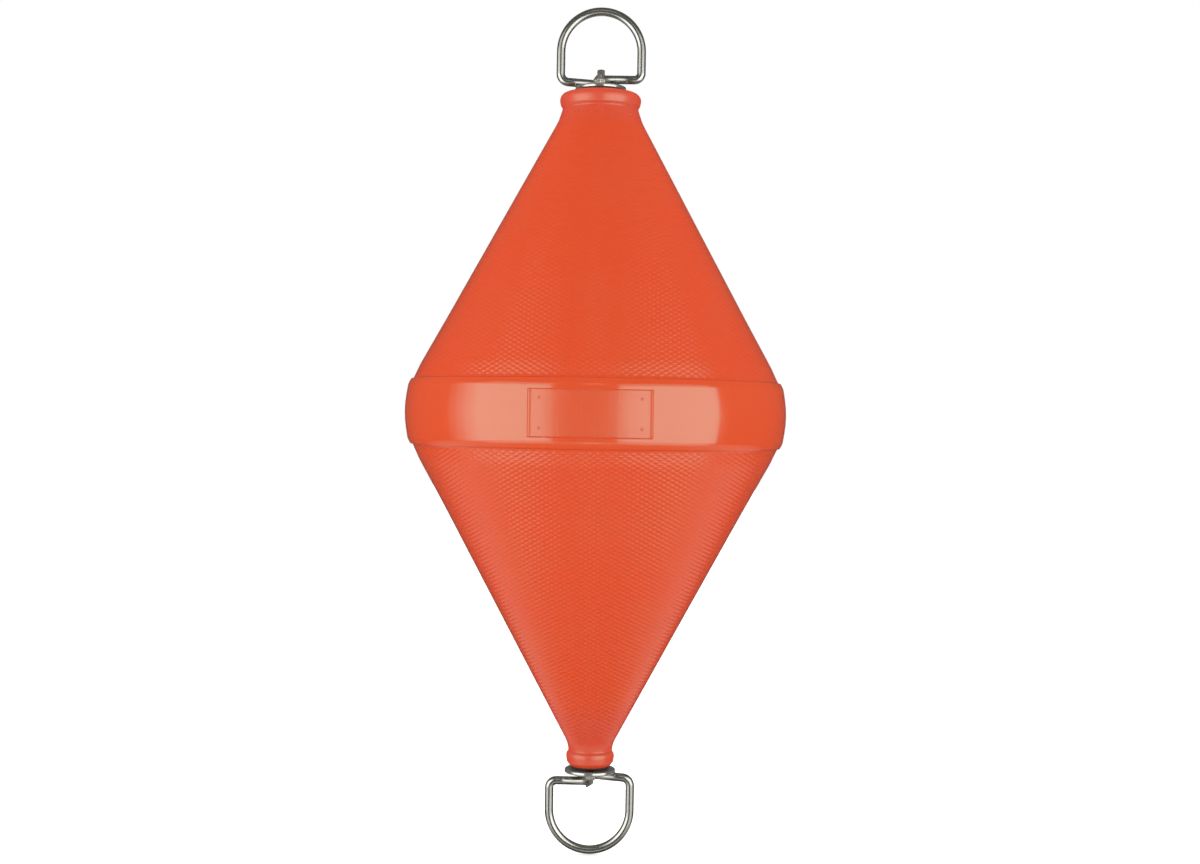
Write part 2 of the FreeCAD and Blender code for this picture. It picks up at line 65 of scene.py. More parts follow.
# ------------------------------------------------------------------ camera
# A 51 mm lens, level with the belt and a little to the right of the panel's middle. It is 1.8 m off and
# turned slightly, so that the buoy leans to the right as it hangs.
camera_away = 1.80
camera_round = math.radians(1.5)
camera_roll = math.radians(0.93)

camera_data = bpy.data.cameras.new("camera")
camera_data.lens = 51.2
camera_data.sensor_width = 36.0
camera_data.shift_x = 0.0037
camera_data.shift_y = -0.0153
camera = bpy.data.objects.new("camera", camera_data)
camera.location = (camera_away * math.sin(camera_round), -camera_away * math.cos(camera_round), 0.0)
camera.rotation_euler = (
    Matrix.Rotation(camera_round, 3, "Z") @ Matrix.Rotation(math.pi / 2, 3, "X")
    @ Matrix.Rotation(camera_roll, 3, "Z")).to_euler()
scene.collection.objects.link(camera)
scene.camera = camera


# ------------------------------------------------------------------ float
# The float is one hollow moulding of orange polyethylene: a cone above and a cone below a crowned belt,
# each ending in a neck and a collar. Small raised diamonds cover both cones. They are cut square into
# each half of the mould, so they fade out towards the parting line at the two sides.
float_low, float_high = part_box("float_shell")
upper_face, lower_face = float_high.z, -float_low.z
bore_r, bore_deep = 0.0044, 0.03
belt_half = 0.0342
belt_edge_r = 0.19584
belt_apex_r = 0.20152
shoulder_r, shoulder_z = belt_edge_r + 0.0010, belt_half - 0.0060

# each cone starts at its foot on the belt, and steepens at the brow and again at the knee
foot_r = belt_edge_r - 0.00454
brow_r, brow_z = foot_r - 0.0067, belt_half + 0.0151
knee_r, knee_z = brow_r - 0.0281, brow_z + 0.0507

# corners of each half's outline, from the bore down over the belt: radius, height and rounding
cone_and_belt = [
    (knee_r, knee_z, 0.6),
    (brow_r, brow_z, 0.060),
    (foot_r, belt_half, 0.0012),
    (belt_edge_r - 0.0022, belt_half, 0.0024),
    (shoulder_r, shoulder_z, 0.012),
    (belt_apex_r, 0, 0.110),
    (shoulder_r, -shoulder_z, 0),
]
upper_outline = [
    (bore_r, upper_face - bore_deep, 0),
    (bore_r, upper_face, 0.0004),
    (0.0208, upper_face, 0.0065),
    (0.0425, upper_face - 0.0018, 0.0072),  # collar
    (0.0425, upper_face - 0.0100, 0.0080),
    (0.0414, upper_face - 0.0150, 0.0036),
    (0.0397, upper_face - 0.0170, 0.0004),  # line below the collar
    (0.0401, upper_face - 0.0180, 0.0004),
    (0.0399, upper_face - 0.0188, 0.0005),
    (0.0444, upper_face - 0.0322, 0.040),  # neck
] + cone_and_belt
lower_outline = [
    (bore_r, lower_face - bore_deep, 0),
    (bore_r, lower_face, 0.0004),
    (0.0208, lower_face, 0.003),
    (0.0242, lower_face - 0.0044, 0.003),  # collar
    (0.0251, lower_face - 0.0106, 0.006),
    (0.0245, lower_face - 0.0142, 0.002),
    (0.0227, lower_face - 0.0161, 0.0004),  # line below the collar
    (0.0231, lower_face - 0.0171, 0.0004),
    (0.0229, lower_face - 0.0179, 0.0005),
    (0.0242, lower_face - 0.0246, 0.024),  # neck
] + cone_and_belt
facet = math.radians(9)  # the most that an arc turns from point to point
hair = 1e-6  # places closer than this are the same


def rounded(corners):
    """The points of an outline whose corners, (radius, height, rounding), are turned into arcs."""
    places = [Vector((across, up)) for across, up, rounding in corners]
    points = [places[0]]
    for before, corner, after, (across, up, rounding) in zip(places, places[1:], places[2:], corners[1:]):
        if not rounding:
            points.append(corner)
            continue
        back = (before - corner).normalized()
        ahead = (after - corner).normalized()
        half = back.angle(ahead) / 2
        centre = corner + (back + ahead).normalized() * rounding / math.sin(half)
        first = corner + back * rounding / math.tan(half) - centre
        last = corner + ahead * rounding / math.tan(half) - centre
        turn = math.atan2(first.x * last.y - first.y * last.x, first.dot(last))
        count = 2 * math.ceil(abs(turn) / facet / 2)
        for step in range(count + 1):
            points.append(centre + Matrix.Rotation(turn * step / count, 2) @ first)
    points.append(places[-1])
    return points


def radius_at(line, height):
    """An outline's radius and its slope, radius over height, at a height where it is single."""
    for upper, lower in zip(line, line[1:]):
        if lower.y <= height <= upper.y:
            slope = (upper.x - lower.x) / (upper.y - lower.y)
            return lower.x + slope * (height - lower.y), slope
    raise ValueError(f"the outline never passes {height}")


def smooth_step(value):
    """A value held between 0 and 1, with a soft start and end."""
    value = min(max(value, 0.0), 1.0)
    return value * value * (3 - 2 * value)


def grown_on(bm, rim):
    """Extrudes a rim of edges where it lies, and returns the new rim's verts and edges."""
    grown = bmesh.ops.extrude_edge_only(bm, edges=rim)["geom"]
    ring = {item for item in grown if isinstance(item, bmesh.types.BMVert)}
    return ring, [item for item in grown if isinstance(item, bmesh.types.BMEdge) and set(item.verts) <= ring]


def draw_on(bm, rim, points):
    """Carries a round rim of edges on along an outline, ring by ring, and returns the last rim."""
    for here, there in zip(points, points[1:]):
        ring, rim = grown_on(bm, rim)
        stretch = there.x / here.x
        bmesh.ops.scale(bm, vec=(stretch, stretch, 1), verts=list(ring))
        bmesh.ops.translate(bm, vec=(0, 0, there.y - here.y), verts=list(ring))
    return rim


# the diamonds, the distances over which they fade out, and the flash along the parting line
diamond_wide, diamond_high = 0.00835, 0.00467
diamond_slope, diamond_rise = 0.00085, 0.00027
quilt_start = belt_half + 0.0020
quilt_reach = math.sin(math.radians(82))  # how far round to each side the diamonds' field is laid
upper_neck_drop, lower_neck_drop = 0.034, 0.026  # from the end faces to the top of the field
low_fade, high_fade = 0.0015, 0.020
side_fade, side_plain = 0.09, 0.2
groove_fade = 0.006
crumb = 0.0007  # bits of diamonds smaller than this are merged along the neck
flash_wide, flash_rise, flash_fade = 0.0012, 0.00025, 0.012


def trim_quilt(field, low, high, low_reach, high_reach):
    """Cuts a flat field in the XZ plane to a trapezium."""
    side = Vector((high - low, 0, low_reach - high_reach)).normalized()
    cuts = [
        ((0, 0, low), (0, 0, -1)),
        ((0, 0, high), (0, 0, 1)),
        ((low_reach, 0, low), side),
        ((-low_reach, 0, low), (-side.x, 0, side.z)),
    ]
    for place, away in cuts:
        bmesh.ops.bisect_plane(
            field, geom=field.verts[:] + field.edges[:] + field.faces[:], dist=1e-7,
            plane_co=place, plane_no=away, clear_outer=True)


def flat_quilt(low, high, low_reach, high_reach):
    """Rows of raised diamonds, flat in the XZ plane, for the front of one cone."""
    bm = bmesh.new()
    margin = 2 * diamond_wide
    rows = round((high - low) / 2 / diamond_high)
    count = 2 * math.ceil((low_reach + margin) / diamond_wide + rows + margin / diamond_high)
    bmesh.ops.create_grid(bm, x_segments=count, y_segments=count, size=count / 2)
    lay = (
        Matrix.Translation((0, 0, low + rows * diamond_high)) @ Matrix.Rotation(math.pi / 2, 4, "X")
        @ Matrix.Diagonal((diamond_wide / math.sqrt(2), diamond_high / math.sqrt(2), 1, 1))
        @ Matrix.Rotation(math.pi / 4, 4, "Z"))
    bmesh.ops.transform(bm, matrix=lay, verts=bm.verts[:])
    trim_quilt(bm, low - margin, high + margin, low_reach + margin, high_reach + margin)
    bmesh.ops.inset_individual(
        bm, faces=bm.faces[:], thickness=diamond_slope, depth=diamond_rise, use_even_offset=True)
    trim_quilt(bm, low, high, low_reach, high_reach)
    bmesh.ops.remove_doubles(bm, verts=[vert for vert in bm.verts if vert.co.z > high - hair], dist=crumb)
    return bm


def half_float(corners, neck_drop):
    """Half the float, from the middle of the belt up to its bore, with its cone quilted."""
    line = rounded(corners)
    low, high = quilt_start, corners[1][1] - neck_drop
    low_r, high_r = radius_at(line, low)[0], radius_at(line, high)[0]
    bm = flat_quilt(low, high, low_r * quilt_reach, high_r * quilt_reach)

    # the grooves stay sharp, but not where they run out below the neck
    for edge in bm.edges:
        groove = max(abs(vert.co.y) for vert in edge.verts) < hair
        edge.smooth = not groove or max(vert.co.z for vert in edge.verts) > high - groove_fade
    side_edges = [
        edge for edge in bm.edges
        if edge.is_boundary and low + hair < (edge.verts[0].co.z + edge.verts[1].co.z) / 2 < high - hair]

    # the flat field is wrapped square on to the cone
    for vert in bm.verts:
        across, rise, up = vert.co.x, -vert.co.y, vert.co.z
        radius, slope = radius_at(line, up)
        rise *= smooth_step((radius - abs(across)) / radius / side_fade - side_plain)
        rise *= smooth_step((up - low) / low_fade) * smooth_step((high - up) / high_fade)
        lean = math.hypot(1, slope)
        out = radius + rise / lean
        sine = across / radius
        vert.co = (out * sine, -out * math.sqrt(1 - sine * sine), up - rise * slope / lean)

    # the flash stands on the parting line, and the back is the front again
    for depth, rise in ((flash_wide / 2, 0), (0, flash_rise)):
        ring, side_edges = grown_on(bm, side_edges)
        for vert in ring:
            radius = radius_at(line, vert.co.z)[0] + rise * smooth_step((vert.co.z - low) / flash_fade)
            vert.co.x = math.copysign(math.sqrt(radius * radius - depth * depth), vert.co.x)
            vert.co.y = -depth
    bmesh.ops.mirror(bm, geom=bm.verts[:] + bm.edges[:] + bm.faces[:], axis="Y", merge_dist=1e-7)

    rim = [edge for edge in bm.edges if edge.is_boundary]
    low_rim = [edge for edge in rim if all(abs(vert.co.z - low) < hair for vert in edge.verts)]
    top_rim = [edge for edge in rim if all(abs(vert.co.z - high) < hair for vert in edge.verts)]
    belt = [point for point in line if -hair < point.y < low and point.x > low_r]
    neck = [point for point in reversed(line) if point.y > high or point.x < high_r]
    draw_on(bm, low_rim, [Vector((low_r, low))] + belt)
    bore_rim = draw_on(bm, top_rim, [Vector((high_r, high))] + neck)
    bmesh.ops.holes_fill(bm, edges=bore_rim, sides=0)
    return bm


def piece(name, bm, material, body, node):
    """Makes an object of a finished bmesh, which rides on a body and stands for a CAD node."""
    bmesh.ops.recalc_face_normals(bm, faces=bm.faces[:])
    mesh = bpy.data.meshes.new(name)
    bm.to_mesh(mesh)
    bm.free()
    mesh.shade_smooth()
    obj = bpy.data.objects.new(name, mesh)
    scene.collection.objects.link(obj)
    mesh.materials.append(material)
    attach(obj, body)
    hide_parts(node)


float_mesh = half_float(upper_outline, upper_neck_drop)
lower_half = half_float(lower_outline, lower_neck_drop)
bmesh.ops.scale(lower_half, vec=(1, 1, -1), verts=lower_half.verts[:])
spare = bpy.data.meshes.new("lower_half")
lower_half.to_mesh(spare)
lower_half.free()
float_mesh.from_mesh(spare)
bpy.data.meshes.remove(spare)
bmesh.ops.remove_doubles(float_mesh, verts=float_mesh.verts[:], dist=2e-6)

# the recessed panel on the front of the belt: cut round at each step of its wall, then pressed in
panel_half_wide, panel_half_high = 0.060, 0.0238
panel_deep = 0.0013
panel_squeeze = 1.6  # the wall is this much steeper along the top and bottom than at the sides
wide_margin, high_margin = 0.02, 0.003
panel_wall = [  # distance in from the panel's edge, and depth there
    Vector(step) for step in (
        (0, 0), (0.0002, 0.00001), (0.0008, 0.00018), (0.0010, 0.00031), (0.0020, 0.00101),
        (0.0022, 0.00110), (0.0029, 0.00127), (0.0031, panel_deep))]


def belt_front():
    """The faces of the belt's front that the panel can reach."""
    for face in float_mesh.faces:
        middle = face.calc_center_median()
        near = abs(middle.x) < panel_half_wide + wide_margin and abs(middle.z) < panel_half_high + high_margin
        if near and middle.y < 0 and middle.xy.length > foot_r:
            yield face


def pressed_in(inward):
    """The panel's depth at a distance in from its edge."""
    for before, after in zip(panel_wall, panel_wall[1:]):
        if before.x <= inward < after.x:
            return before.y + (after.y - before.y) * (inward - before.x) / (after.x - before.x)
    return panel_deep


for step in panel_wall:
    for away in (Vector((1, 0, 0)), Vector((-1, 0, 0)), Vector((0, 0, 1)), Vector((0, 0, -1))):
        faces = list(belt_front())
        edges = {edge for face in faces for edge in face.edges}
        verts = {vert for face in faces for vert in face.verts}
        reach = panel_half_wide - step.x if away.x else panel_half_high - step.x / panel_squeeze
        bmesh.ops.bisect_plane(
            float_mesh, geom=list(verts) + list(edges) + faces, dist=hair,
            plane_co=away * reach, plane_no=away)
for vert in float_mesh.verts:
    inward = min(panel_half_wide - abs(vert.co.x), panel_squeeze * (panel_half_high - abs(vert.co.z)))
    if inward > 0 and vert.co.y < -foot_r / 2:
        radius = vert.co.xy.length
        vert.co.xy *= (radius - pressed_in(inward)) / radius

# four low round heads moulded near the panel's corners
head_across, head_up, head_r = 0.0487, 0.0142, 0.0016
upper_line = rounded(upper_outline)
for across in (-head_across, head_across):
    for up in (-head_up, head_up):
        out = radius_at(upper_line, abs(up))[0] - panel_deep
        place = Vector((across, -math.sqrt(out * out - across * across), up))
        facing = Vector((across, place.y, 0)).to_track_quat("Z", "Y").to_matrix().to_4x4()
        bmesh.ops.create_cone(
            float_mesh, cap_ends=True, segments=20, radius1=head_r, radius2=head_r - 0.0005, depth=0.0009,
            matrix=Matrix.Translation(place) @ facing)


def node_input(tree, socket, value):
    """Sets a node's input from a value, or links it from another node's output."""
    if isinstance(value, bpy.types.NodeSocket):
        tree.links.new(value, socket)
    else:
        socket.default_value = value


def reckoned(tree, operation, *values):
    """One step of arithmetic in a node tree."""
    node = tree.nodes.new("ShaderNodeMath")
    node.operation = operation
    for socket, value in zip(node.inputs, values):
        node_input(tree, socket, value)
    return node.outputs[0]


def spread(tree, value, low, high, to_low, to_high, smooth=False):
    """A value carried over from one range to another, and held at its ends."""
    node = tree.nodes.new("ShaderNodeMapRange")
    if smooth:
        node.interpolation_type = "SMOOTHSTEP"
    for socket, number in zip(node.inputs, (value, low, high, to_low, to_high)):
        node_input(tree, socket, number)
    return node.outputs[0]


def tinted(tree, factor, first, second):
    """A colour between two others."""
    node = tree.nodes.new("ShaderNodeMix")
    node.data_type = "RGBA"
    sockets = [socket for socket in node.inputs if socket.type == "RGBA"]
    node_input(tree, node.inputs["Factor"], factor)
    node_input(tree, sockets[0], first)
    node_input(tree, sockets[1], second)
    return [socket for socket in node.outputs if socket.type == "RGBA"][0]


def speckle(tree, vector, scale, detail=2.0, roughness=0.5):
    """Grey noise, 0 to 1, over a vector."""
    node = tree.nodes.new("ShaderNodeTexNoise")
    node_input(tree, node.inputs["Vector"], vector)
    node.inputs["Scale"].default_value = scale
    node.inputs["Detail"].default_value = detail
    node.inputs["Roughness"].default_value = roughness
    return node.outputs["Fac"]


def bumped(tree, height, distance, normal=None):
    """A normal bent by a height."""
    node = tree.nodes.new("ShaderNodeBump")
    node.inputs["Distance"].default_value = distance
    node_input(tree, node.inputs["Height"], height)
    if normal:
        node_input(tree, node.inputs["Normal"], normal)
    return node.outputs["Normal"]


def object_place(tree):
    """The place on a piece, in the frame's own metres."""
    return tree.nodes.new("ShaderNodeTexCoord").outputs["Object"]


def split_up(tree, vector):
    """A vector's X, Y and Z."""
    node = tree.nodes.new("ShaderNodeSeparateXYZ")
    node_input(tree, node.inputs[0], vector)
    return node.outputs


def put_together(tree, *values):
    """A vector of X, Y and Z."""
    node = tree.nodes.new("ShaderNodeCombineXYZ")
    for socket, value in zip(node.inputs, values):
        node_input(tree, socket, value)
    return node.outputs[0]


def new_look(name, inputs):
    """A node group that gives a colour, a roughness and a normal, and its sockets seen from inside."""
    group = bpy.data.node_groups.new(name, "ShaderNodeTree")
    for socket, kind in inputs.items():
        group.interface.new_socket(socket, in_out="INPUT", socket_type=kind)
    for socket, kind in (
            ("Color", "NodeSocketColor"), ("Roughness", "NodeSocketFloat"), ("Normal", "NodeSocketVector")):
        group.interface.new_socket(socket, in_out="OUTPUT", socket_type=kind)
    return group, group.nodes.new("NodeGroupInput").outputs, group.nodes.new("NodeGroupOutput").inputs


def new_finish(name):
    """A new material, with its node tree and its shader's inputs."""
    material = bpy.data.materials.new(name)
    material.use_nodes = True
    return material, material.node_tree, material.node_tree.nodes["Principled BSDF"].inputs


def laid_on(tree, shader, look):
    """Lays a look's node group in a material's tree and links it to the shader."""
    node = tree.nodes.new("ShaderNodeGroup")
    node.node_tree = look
    for output, socket in (("Color", "Base Color"), ("Roughness", "Roughness"), ("Normal", "Normal")):
        node_input(tree, shader[socket], node.outputs[output])
    return node


# moulded skin: glossy on the belt, with faint upright tool lines there, and a fine grain all over. The collars carry
# painted shade and the belt a painted sheen in their colour
skin, _, skin_out = new_look("moulded_skin", {})
place = object_place(skin)
side, back, up = split_up(skin, place)
from_middle = reckoned(skin, "ABSOLUTE", up)
on_the_belt = spread(skin, from_middle, belt_half - 0.0006, belt_half + 0.0006, 1.0, 0.0)
on_the_cones = reckoned(skin, "SUBTRACT", 1.0, on_the_belt)
on_the_collars = spread(skin, from_middle, 0.29, 0.325, 0.0, 1.0, True)
wall_foot, wall_middle = 0.0022, 0.0014
in_the_panel = reckoned(
    skin, "MULTIPLY", spread(
        skin, reckoned(skin, "ABSOLUTE", side), panel_half_wide - wall_foot, panel_half_wide - wall_middle, 1.0, 0.0),
    spread(skin, from_middle, panel_half_high - wall_foot, panel_half_high - wall_middle, 1.0, 0.0))
in_the_panel = reckoned(skin, "MULTIPLY", in_the_panel, reckoned(skin, "LESS_THAN", back, 0.0))

round_front = reckoned(skin, "ARCTAN2", side, reckoned(skin, "MULTIPLY", back, -1.0))
tool_lines = speckle(skin, put_together(
    skin, reckoned(skin, "MULTIPLY", round_front, 62.0), reckoned(skin, "MULTIPLY", up, 7.0), 0.0), 1.0, 3.0, 0.6)
grain = speckle(skin, place, 900.0, 1.0)
cloud = speckle(skin, place, 14.0, 3.0)
fleck = speckle(skin, place, 160.0, 3.0, 0.6)
orange = tinted(
    skin, spread(skin, cloud, 0.3, 0.7, 0.0, 1.0), (0.720, 0.066, 0.016, 1), (0.702, 0.073, 0.020, 1))
# painted shade: the collars get a deeper, darker orange than the rest of the moulding, which dims their highlights
orange = tinted(skin, on_the_collars, orange, (0.700, 0.049, 0.011, 1))
# painted sheen: the belt gets a paler, greener orange than the cones, standing in for the light its gloss shows
orange = tinted(skin, on_the_belt, orange, (0.697, 0.073, 0.018, 1))
node_input(skin, skin_out["Color"], tinted(
    skin, spread(skin, fleck, 0.62, 0.80, 0.0, 0.10), orange, (0.80, 0.14, 0.06, 1)))
belt_rough = reckoned(
    skin, "ADD", spread(skin, tool_lines, 0.35, 0.70, 0.13, 0.17),
    reckoned(skin, "MULTIPLY", in_the_panel, 0.11))
cone_rough = reckoned(
    skin, "ADD", spread(skin, fleck, 0.3, 0.7, 0.12, 0.17), reckoned(skin, "MULTIPLY", on_the_collars, 0.18))
node_input(skin, skin_out["Roughness"], reckoned(
    skin, "ADD", reckoned(skin, "MULTIPLY", belt_rough, on_the_belt),
    reckoned(skin, "MULTIPLY", cone_rough, on_the_cones)))
node_input(skin, skin_out["Normal"], bumped(skin, grain, 0.000006, bumped(
    skin, reckoned(skin, "MULTIPLY", tool_lines, on_the_belt), 0.00004)))

# the float's colour is darker to reflected rays, so that the polished steel stays grey next to it
float_orange, tree, shader = new_finish("float_orange")
shader["Specular IOR Level"].default_value = 1.0
shader["Specular Tint"].default_value = (0.10, 1.0, 0.82, 1)
look = laid_on(tree, shader, skin)
mute = reckoned(tree, "MULTIPLY", tree.nodes.new("ShaderNodeLightPath").outputs["Is Glossy Ray"], 0.88)
node_input(tree, shader["Base Color"], tinted(tree, mute, look.outputs["Color"], (0.10, 0.06, 0.045, 1)))

piece("float_moulding", float_mesh, float_orange, "float", "float_shell")


# ------------------------------------------------------------------ seals
# A flat ring of black rubber lies on the face of each collar. It is pressed there by the washer, and its
# edge is all that shows.
seal_bore_r = 0.006
seal_rounding = 0.0003

seal_rubber, tree, shader = new_finish("seal_rubber")
bloom = speckle(tree, object_place(tree), 210.0, 3.0, 0.6)
node_input(tree, shader["Base Color"], tinted(
    tree, spread(tree, bloom, 0.45, 0.75, 0.0, 1.0), (0.010, 0.010, 0.010, 1), (0.040, 0.038, 0.036, 1)))
node_input(tree, shader["Roughness"], spread(tree, bloom, 0.3, 0.7, 0.55, 0.75))
node_input(tree, shader["Normal"], bumped(tree, speckle(tree, object_place(tree), 1500.0), 0.00002))


def turned_ring(corners, segments):
    """A closed ring turned about the rod's axis from a rounded outline."""
    bm = bmesh.new()
    points = rounded([*corners, corners[0]])
    verts = [bm.verts.new((point.x, 0, point.y)) for point in points[:-1]]
    edges = [bm.edges.new((a, b)) for a, b in zip(verts, verts[1:] + verts[:1])]
    bmesh.ops.spin(
        bm, geom=verts + edges, cent=(0, 0, 0), axis=(0, 0, 1), angle=2 * math.pi, steps=segments,
        use_merge=True)
    bmesh.ops.remove_doubles(bm, verts=bm.verts[:], dist=1e-7)
    return bm


def flat_ring(node, bore_r, rounding, segments):
    """A ring as wide and as thick as a CAD node, with its outer edges rounded."""
    low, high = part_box(node)
    return turned_ring([
        (bore_r, low.z, 0), (high.x, low.z, rounding), (high.x, high.z, rounding), (bore_r, high.z, 0)], segments)


for node in ("upper_seal", "lower_seal"):
    seal = flat_ring(node, seal_bore_r, seal_rounding, 96)
    piece(f"{node}_rubber", seal, seal_rubber, "float", node)


# ------------------------------------------------------------------ rod and washers
# The rod is drawn stainless bar, chamfered above and cropped at a slant below. The washers are turned
# from thick stainless plate, with well rounded rims, and run on it against the seals.
rod_low, rod_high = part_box("through_rod")
rod_r = rod_high.x
rod_chamfer = 0.0007
rod_slant = 0.0046
washer_bore_r = 0.0042
washer_rounding = 0.0016

# worked steel: fine lines where the given place is least stretched, rubbed patches and a few pits, all darkened by a
# factor of painted shade
steel, steel_in, steel_out = new_look("worked_steel", {
    "Place": "NodeSocketVector", "Lines": "NodeSocketVector", "Painted shade": "NodeSocketFloat"})
lines = speckle(steel, steel_in["Lines"], 1.0, 3.0, 0.65)
rubbed = spread(steel, speckle(steel, steel_in["Place"], 95.0, 3.0, 0.6), 0.35, 0.70, 0.0, 1.0, True)
pits = spread(steel, speckle(steel, steel_in["Place"], 700.0, 2.0, 0.7), 0.66, 0.76, 0.0, 1.0)
bare = tinted(steel, rubbed, (0.60, 0.595, 0.55, 1), (0.53, 0.52, 0.465, 1))
bare = tinted(steel, pits, bare, (0.36, 0.34, 0.30, 1))
# painted shade: the whole colour is scaled down by a factor, so one steel gives darker and lighter copies
node_input(steel, steel_out["Color"], tinted(steel, steel_in["Painted shade"], (0, 0, 0, 1), bare))
node_input(steel, steel_out["Roughness"], reckoned(
    steel, "ADD", spread(steel, lines, 0.3, 0.7, 0.15, 0.21), reckoned(steel, "MULTIPLY", rubbed, 0.05)))
node_input(steel, steel_out["Normal"], bumped(steel, pits, -0.000001, bumped(steel, lines, 0.000001)))


def worked_steel(name, place, stretch, painted_shade, metallic):
    """A steel finish whose lines follow a place, stretched along its three ways."""
    material, tree, shader = new_finish(name)
    scale = tree.nodes.new("ShaderNodeVectorMath")
    scale.operation = "MULTIPLY"
    node_input(tree, scale.inputs[0], place(tree))
    node_input(tree, scale.inputs[1], stretch)
    look = laid_on(tree, shader, steel)
    node_input(tree, look.inputs["Place"], object_place(tree))
    node_input(tree, look.inputs["Lines"], scale.outputs[0])
    node_input(tree, look.inputs["Painted shade"], painted_shade)
    shader["Metallic"].default_value = metallic
    return material


def turned_place(tree):
    """Distance from the rod's axis and height, so that lines run round it."""
    x, y, z = split_up(tree, object_place(tree))
    away = reckoned(tree, "SQRT", reckoned(
        tree, "ADD", reckoned(tree, "MULTIPLY", x, x), reckoned(tree, "MULTIPLY", y, y)))
    return put_together(tree, away, z, 0.0)


# painted shade: the rod gets less of the steel's colour than the washers
rod_steel = worked_steel("rod_steel", object_place, (900, 900, 30), 0.9, 0.85)
washer_steel = worked_steel("washer_steel", turned_place, (1100, 1100, 1), 1.0, 0.85)

for node in ("upper_washer", "lower_washer"):
    washer = flat_ring(node, washer_bore_r, washer_rounding, 128)
    piece(f"{node}_disc", washer, washer_steel, "mooring_rod", node)

rod = bmesh.new()
bmesh.ops.create_circle(rod, radius=rod_r, segments=48, matrix=Matrix.Translation((0, 0, rod_low.z)))
draw_on(rod, rod.edges[:], [
    Vector((rod_r, rod_low.z)), Vector((rod_r, rod_high.z - rod_chamfer)),
    Vector((rod_r - rod_chamfer, rod_high.z))])
bmesh.ops.bisect_plane(
    rod, geom=rod.verts[:] + rod.edges[:] + rod.faces[:], plane_co=(0, 0, rod_low.z + rod_slant / 2),
    plane_no=(rod_slant, 0, -2 * rod_r), clear_outer=True)
bmesh.ops.holes_fill(rod, edges=[edge for edge in rod.edges if edge.is_boundary], sides=0)
piece("through_rod_bar", rod, rod_steel, "mooring_rod", "through_rod")


# ------------------------------------------------------------------ D rings
# Each ring is one 9 mm stainless bar bent into a D. Its legs come in to the rod from both sides, the
# inner one flat on the washer and the outer one just beyond it, and both are welded to the rod.
bar_r = 0.0045
ring_side = 0.0425
leg_gap = 0.0025
outer_bend, inner_bend = 0.0074, 0.0088
inner_end, inner_side = 0.0024, 0.0057
upper_seat, lower_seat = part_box("upper_washer")[1].z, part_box("lower_washer")[0].z


def unbent_place(tree):
    """The place on a bent bar as it was before bending."""
    node = tree.nodes.new("ShaderNodeAttribute")
    node.attribute_name = "unbent"
    return node.outputs["Vector"]


def bent_bar(start, heading, moves):
    """A round bar that follows runs and bends in the XZ plane. A bend is (centreline radius, angle)."""
    bm = bmesh.new()
    unbent = bm.verts.layers.float_vector.new("unbent")
    place, heading, along = Vector(start), Vector(heading), 0.0
    stand = Matrix.Translation(place) @ heading.to_track_quat("Z", "Y").to_matrix().to_4x4()
    bmesh.ops.create_circle(bm, radius=bar_r, segments=40)
    for vert in bm.verts:
        vert[unbent] = vert.co
    bmesh.ops.transform(bm, matrix=stand, verts=bm.verts[:])
    rim = bm.edges[:]
    for move in moves:
        if isinstance(move, tuple):
            radius, angle = move
            inward = Vector((heading.z, 0, -heading.x)) * math.copysign(1, angle)
            centre = place + inward * radius
            older = set(bm.verts)
            ring = {vert for edge in rim for vert in edge.verts}
            ring = set(bmesh.ops.spin(
                bm, geom=rim + list(ring), cent=centre, axis=(0, 1, 0), angle=angle,
                steps=math.ceil(abs(angle) / math.radians(3)))["geom_last"])
            for vert in set(bm.verts) - older:
                spoke = vert.co - centre
                spoke.y = 0
                vert[unbent].z = along + radius * spoke.angle(-inward)
            turn = Matrix.Rotation(angle, 3, "Y")
            place = centre + turn @ (place - centre)
            heading = turn @ heading
            along += radius * abs(angle)
            rim = [edge for edge in bm.edges if set(edge.verts) <= ring]
        else:
            ring, rim = grown_on(bm, rim)
            bmesh.ops.translate(bm, vec=heading * move, verts=list(ring))
            place = place + heading * move
            along += move
            for vert in ring:
                vert[unbent].z = along
    bmesh.ops.holes_fill(bm, edges=[edge for edge in bm.edges if edge.is_boundary], sides=0)
    return bm


def ring_bar(seat, outer_leg, crown):
    """A ring above a seat, by its outer leg's and its crown centre's height over it."""
    lean = math.atan2(inner_side - inner_end, ring_side)
    inner_turn = math.pi / 2 - lean
    reach = inner_bend * math.tan(inner_turn / 2)
    return bent_bar((leg_gap, 0, seat + outer_leg), (1, 0, 0), [
        ring_side - leg_gap - outer_bend,
        (outer_bend, -math.pi / 2),
        crown - outer_leg - outer_bend,
        (ring_side, -math.pi),
        crown - inner_side - reach,
        (inner_bend, -inner_turn),
        (ring_side - leg_gap) / math.cos(lean) - reach,
    ])


# painted shade: the ring's steel is the darkest copy
ring_steel = worked_steel("ring_steel", unbent_place, (700, 700, 14), 0.75, 0.93)
upper_bar = ring_bar(upper_seat, 0.0079, 0.0371)
piece("upper_ring_bar", upper_bar, ring_steel, "mooring_rod", "upper_ring")
lower_bar = ring_bar(-lower_seat, 0.0094, 0.0393)
bmesh.ops.rotate(lower_bar, matrix=Matrix.Rotation(math.pi, 3, "Y"), verts=lower_bar.verts[:])
piece("lower_ring_bar", lower_bar, ring_steel, "mooring_rod", "lower_ring")


# ------------------------------------------------------------------ welds
# Weld metal runs round the rod from the washer past the inner leg. It is left as laid, ropy and greyer
# than the bar, and a little is drawn up the rod.
weld_inset = 0.0005
weld_shoulder = 0.0069

